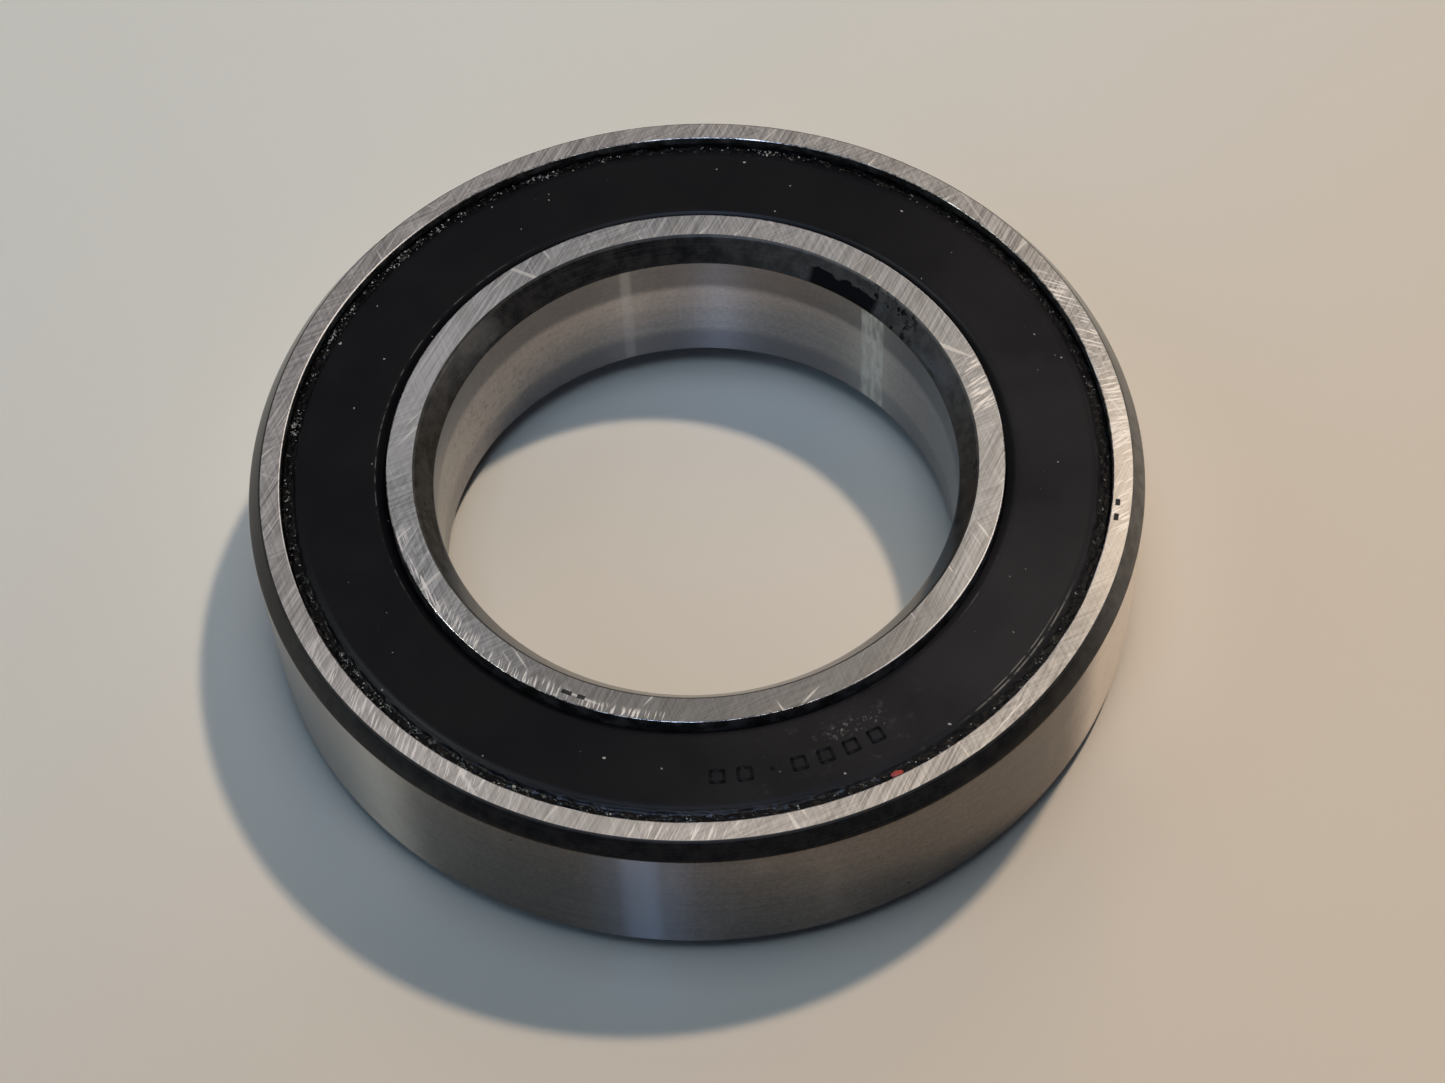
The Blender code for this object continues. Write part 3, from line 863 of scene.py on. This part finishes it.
def crumbs_mesh(seed, count):
    """Loose shreds of rubber that lie in the torn rim."""
    draw = random.Random(seed)
    bm = bmesh.new()
    clumps = [draw.gauss(2.6, 0.55) for _ in range(count // 14)]
    for _ in range(count):
        angle = draw.uniform(0, 2 * math.pi)
        if draw.random() < 0.6:
            angle = draw.choice(clumps) + draw.gauss(0, 0.02)
        radius = draw.uniform(30.55, 31.22)
        size = draw.uniform(0.03, 0.11)
        shred = bmesh.ops.create_icosphere(bm, subdivisions=1, radius=size * MM)
        for vert in shred["verts"]:
            vert.co *= draw.uniform(0.6, 1.3)
        place = Vector((radius * math.cos(angle), radius * math.sin(angle), 6.72)) * MM
        turn = Matrix.Rotation(draw.uniform(0, math.pi), 4, "Z")
        stretch = Matrix.Diagonal((draw.uniform(0.8, 1.9), 1.0, draw.uniform(0.5, 1.1), 1.0))
        matrix = Matrix.Translation(place) @ turn @ stretch
        bmesh.ops.transform(bm, matrix=matrix, verts=shred["verts"])
    mesh = bpy.data.meshes.new("rubber_crumbs")
    bm.to_mesh(mesh)
    bm.free()
    return mesh


def add_seals():
    rubber = seal_rubber_material()
    shreds = crumb_rubber_material()
    upper = turned_object("upper_seal_moulded", seal_outline(), SEAL_SEGMENTS, [rubber], torn_rim)
    marks_mesh = seal_marks_mesh()
    marks_mesh.materials.append(mark_rubber_material())
    for side, turn, seed in (("upper", 0.0, 5), ("lower", math.pi, 8)):
        seal = upper
        if side == "lower":
            seal = bpy.data.objects.new("lower_seal_moulded", upper.data)
            bpy.context.scene.collection.objects.link(seal)
            seal.modifiers.new("weighted_normals", "WEIGHTED_NORMAL").weight = 80
        marks = bpy.data.objects.new(f"{side}_seal_marks", marks_mesh)
        crumbs_data = crumbs_mesh(seed, SHRED_COUNT)
        crumbs_data.materials.append(shreds)
        crumbs = bpy.data.objects.new(f"{side}_seal_shreds", crumbs_data)
        for piece in (marks, crumbs):
            piece.data.shade_smooth()
            bpy.context.scene.collection.objects.link(piece)
        for piece in (seal, marks, crumbs):
            piece.rotation_euler.x = turn
            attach(piece, "outer")
        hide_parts(f"{side}_seal_rubber")


def add_paint_fleck():
    """A small red fleck that has lodged in the rim of the upper seal."""
    bm = bmesh.new()
    bmesh.ops.create_icosphere(bm, subdivisions=3, radius=1.0)
    for vert in bm.verts:
        vert.co *= 1.0 + 0.35 * noise.noise(vert.co * 1.7)
    angle = math.radians(FLECK_DEGREES)
    place = Vector((FLECK_RADIUS * math.cos(angle), FLECK_RADIUS * math.sin(angle), 6.98)) * MM
    size = Matrix.Diagonal((0.26 * MM, 0.46 * MM, 0.14 * MM, 1.0))
    bmesh.ops.transform(
        bm, matrix=Matrix.Translation(place) @ Matrix.Rotation(angle, 4, "Z") @ size, verts=bm.verts
    )
    mesh = bpy.data.meshes.new("paint_fleck")
    bm.to_mesh(mesh)
    bm.free()
    mesh.shade_smooth()
    mesh.materials.append(paint_fleck_material())
    fleck = bpy.data.objects.new("paint_fleck", mesh)
    bpy.context.scene.collection.objects.link(fleck)
    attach(fleck, "outer")


# ---------------------------------------------------------------------------------------------------
# Inside
# ---------------------------------------------------------------------------------------------------


def add_balls():
    steel = plain_steel("ball_lapped", (0.60, 0.60, 0.60), (0.72, 0.72, 0.72), 0.03, 0.0004)
    bm = bmesh.new()
    bmesh.ops.create_icosphere(bm, subdivisions=5, radius=BALL_RADIUS * MM)
    mesh = bpy.data.meshes.new("lapped_ball")
    bm.to_mesh(mesh)
    bm.free()
    mesh.shade_smooth()
    mesh.materials.append(steel)
    for number in range(1, BALL_COUNT + 1):
        node = f"ball_{number:02d}"
        low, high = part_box(node)
        ball = bpy.data.objects.new(f"{node}_lapped", mesh)
        bpy.context.scene.collection.objects.link(ball)
        ball.location = (low + high) / 2
        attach(ball, node)
        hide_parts(node)


def finish_inner_steel(nodes):
    """Give the cage, the rivets and the seal inserts their materials; their shapes stay as they are."""
    cage = plain_steel("cage_pressed", (0.30, 0.295, 0.285), (0.44, 0.435, 0.425), 0.26, 0.004)
    rivet = plain_steel("rivet_headed", (0.38, 0.375, 0.365), (0.54, 0.535, 0.52), 0.22, 0.004)
    insert = plain_steel("insert_pressed", (0.16, 0.155, 0.15), (0.27, 0.265, 0.255), 0.36, 0.006)
    for name, node in nodes.items():
        for start, material in (("cage_half", cage), ("cage_rivet", rivet)):
            if name.startswith(start):
                node.data.materials.clear()
                node.data.materials.append(material)
        if name.endswith("_insert"):
            node.data.materials.clear()
            node.data.materials.append(insert)


# ---------------------------------------------------------------------------------------------------
# Camera, floor and light
# ---------------------------------------------------------------------------------------------------


def add_camera():
    elevation = math.radians(CAMERA_ELEVATION)
    roll = math.radians(CAMERA_ROLL)
    back = Vector((0.0, -math.cos(elevation), math.sin(elevation)))
    level = Vector((1.0, 0.0, 0.0))
    rise = back.cross(level)
    right = level * math.cos(roll) + rise * math.sin(roll)
    up = back.cross(right)
    data = bpy.data.cameras.new("camera")
    data.lens = CAMERA_LENS
    data.sensor_width = CAMERA_SENSOR
    data.clip_start = 0.01
    camera = bpy.data.objects.new("camera", data)
    place = Vector(CAMERA_TARGET) * MM + back * CAMERA_DISTANCE * MM
    axes = Matrix((right, up, back)).transposed().to_4x4()
    camera.matrix_world = Matrix.Translation(place) @ axes
    bpy.context.scene.collection.objects.link(camera)
    bpy.context.scene.camera = camera


def add_floor(height):
    mesh = bpy.data.meshes.new("floor")
    signs = ((-1, -1), (1, -1), (1, 1), (-1, 1))
    corners = [(FLOOR_HALF * x, FLOOR_HALF * y, height) for x, y in signs]
    mesh.from_pydata(corners, [], [(0, 1, 2, 3)])
    p = Pattern("floor_paint")
    cloud = p.noise(p.place, 0.012, 3.0, 0.5)
    # Painted light: the floor colour warms towards the front right, as if lit warmer from that side.
    painted_warm_light = p.remap(p.part(p.turned(-53.0), 0), -72.0, 65.0)
    pale = p.mix(painted_warm_light, (0.60, 0.60, 0.59), (0.61, 0.505, 0.42))
    colour = p.mix(p.math("MULTIPLY", p.remap(cloud, 0.35, 0.65), 0.12), pale, (0.54, 0.51, 0.48))
    mesh.materials.append(p.finish(colour, 0.32, 0.0, p.bump(cloud, 0.001), Specular_IOR_Level=0.30))
    floor = bpy.data.objects.new("floor", mesh)
    bpy.context.scene.collection.objects.link(floor)


def add_light(name, azimuth, elevation, size, power, colour, lights_floor, seen_in_metal):
    """A rectangular lamp, azimuth degrees to the right of straight ahead (-Y), that faces the bearing."""
    around = math.radians(azimuth)
    above = math.radians(elevation)
    direction = Vector(
        (math.sin(around) * math.cos(above), -math.cos(around) * math.cos(above), math.sin(above))
    )
    data = bpy.data.lights.new(name, "AREA")
    data.shape = "RECTANGLE"
    data.size, data.size_y = size
    data.energy = power
    data.color = colour
    lamp = bpy.data.objects.new(name, data)
    lamp.location = direction * LAMP_DISTANCE
    lamp.rotation_mode = "QUATERNION"
    lamp.rotation_quaternion = direction.to_track_quat("Z", "Y")
    lamp.visible_diffuse = lights_floor
    lamp.visible_glossy = seen_in_metal
    bpy.context.scene.collection.objects.link(lamp)


def add_lights():
    add_light("key", 141.0, 59.5, (0.05, 0.05), 5.2, (1.0, 0.85, 0.655), True, False)
    add_light("key_sheen", 142.0, 59.0, (0.40, 0.40), 0.81, (1.0, 0.81, 0.57), False, True)
    add_light("top_fill", 0.0, 88.0, (0.50, 0.50), 2.5, (0.62, 0.83, 1.0), True, False)
    add_light("back_fill", 180.0, 45.0, (0.40, 0.40), 0.9, (1.0, 0.80, 0.60), True, False)
    add_light("left_fill", -82.0, 38.0, (0.40, 0.40), 1.0, (0.42, 0.70, 1.0), True, False)
    add_light("front_fill", -12.0, 36.0, (0.30, 0.20), 0.3, (0.40, 0.64, 1.0), True, False)
    add_light("window_front", -13.5, 52.0, (0.10, 0.30), 5.0, (0.50, 0.66, 1.0), False, True)
    add_light("window_left", -87.0, 50.0, (0.06, 0.30), 2.8, (0.92, 1.0, 0.95), False, True)
    add_light("lamp_right", 26.5, 50.0, (0.03, 0.30), 1.4, (1.0, 0.98, 1.0), False, True)
    add_light("wall_right", 88.0, 20.0, (0.50, 0.40), 0.7, (1.0, 0.95, 0.90), False, True)


def add_world():
    """Room that shows in the steel: bright behind and above, dark in front. It lights no floor."""
    world = bpy.data.worlds.new("room")
    bpy.context.scene.world = world
    world.use_nodes = True
    tree = world.node_tree
    coordinates = tree.nodes.new("ShaderNodeTexCoord")
    toward = tree.nodes.new("ShaderNodeVectorMath")
    toward.operation = "DOT_PRODUCT"
    tree.links.new(coordinates.outputs["Generated"], toward.inputs[0])
    toward.inputs[1].default_value = BRIGHT_SIDE
    rise = tree.nodes.new("ShaderNodeMapRange")
    rise.interpolation_type = "SMOOTHSTEP"
    tree.links.new(toward.outputs["Value"], rise.inputs["Value"])
    rise.inputs["From Min"].default_value = -0.2
    rise.inputs["From Max"].default_value = 1.0
    path = tree.nodes.new("ShaderNodeLightPath")
    colour = (0.096, 0.110, 0.144, 1.0)
    layers = (
        (rise.outputs["Result"], (0.382, 0.370, 0.383, 1.0)),
        (path.outputs["Is Diffuse Ray"], (0.0, 0.0, 0.0, 1.0)),
        (path.outputs["Is Camera Ray"], (0.50, 0.52, 0.55, 1.0)),
    )
    for factor, over in layers:
        mix = tree.nodes.new("ShaderNodeMixRGB")
        tree.links.new(factor, mix.inputs["Fac"])
        if isinstance(colour, tuple):
            mix.inputs["Color1"].default_value = colour
        else:
            tree.links.new(colour, mix.inputs["Color1"])
        mix.inputs["Color2"].default_value = over
        colour = mix.outputs["Color"]
    background = tree.nodes["Background"]
    tree.links.new(colour, background.inputs["Color"])
    background.inputs["Strength"].default_value = 1.0


def main():
    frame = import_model()
    cad_low, cad_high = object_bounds()
    ring_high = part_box("outer_ring")[1]
    half_width = ring_high.z / MM
    outside_radius = ring_high.x / MM
    add_camera()
    add_outer_ring(half_width, outside_radius)
    add_inner_ring(half_width)
    add_seals()
    add_paint_fleck()
    add_balls()
    finish_inner_steel(frame["nodes"])
    add_floor(cad_low.z)
    add_lights()
    add_world()
    bpy.context.scene.view_settings.view_transform = "Standard"


main()
